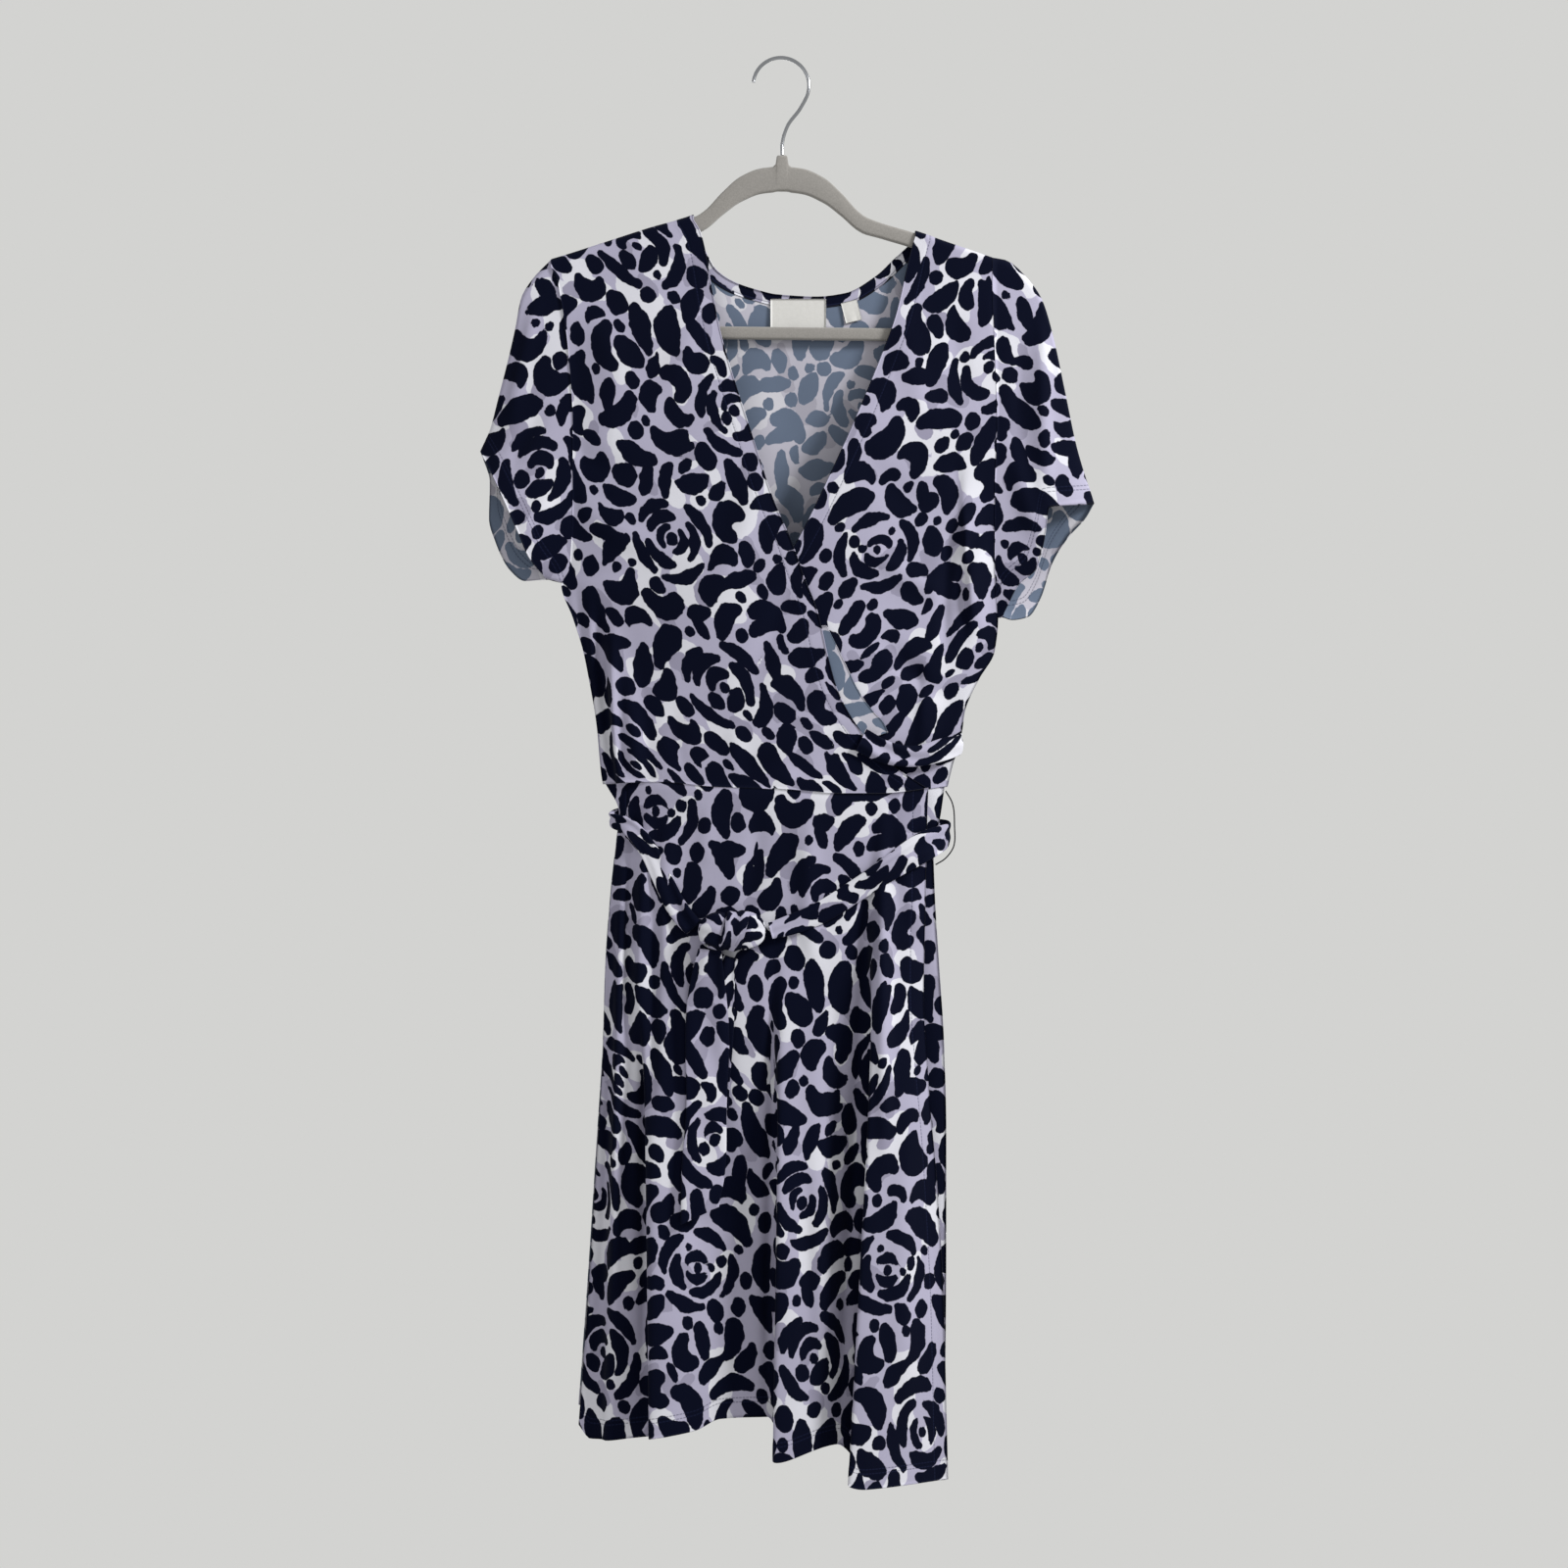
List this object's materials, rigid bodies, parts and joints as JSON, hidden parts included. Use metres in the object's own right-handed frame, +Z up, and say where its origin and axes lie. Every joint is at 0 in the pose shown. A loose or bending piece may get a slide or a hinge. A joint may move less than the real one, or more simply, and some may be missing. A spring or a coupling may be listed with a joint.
{
  "type": "wrap dress on a clothes hanger",
  "caption": "Short-sleeved knee-length wrap dress of printed jersey with self ties, hanging flat on a slim closed hanger with a wire hook.",
  "frame": {"origin": "where the wire hook rests on a rail, at the underside of the top of its bend", "axes": "+Z up, the dress faces -Y, +X towards the wearer's left sleeve"},
  "size_m": [0.5321, 0.0891, 1.2301],
  "materials": {
    "printed_jersey": "matt printed knit, navy on lilac",
    "flocked_plastic": "warm grey flock",
    "bright_wire": "polished",
    "label_ribbon": "white satin ribbon",
    "black_thread": "twisted thread"
  },
  "bodies": {
    "root": {"bodice_front_over": "printed_jersey", "bodice_front_under": "printed_jersey", "bodice_back": "printed_jersey", "neck_band_back": "printed_jersey", "sleeve_right": "printed_jersey", "sleeve_left": "printed_jersey", "skirt_front_over": "printed_jersey", "skirt_front_under": "printed_jersey", "skirt_back": "printed_jersey", "tie_over": "printed_jersey", "tie_under": "printed_jersey", "tie_tail_long": "printed_jersey", "tie_tail_short": "printed_jersey", "tie_knot": "printed_jersey", "thread_loop": "black_thread", "neck_label": "label_ribbon", "size_label": "label_ribbon", "hanger_body": "flocked_plastic", "hanger_hook": "bright_wire"}
  },
  "joints": []
}
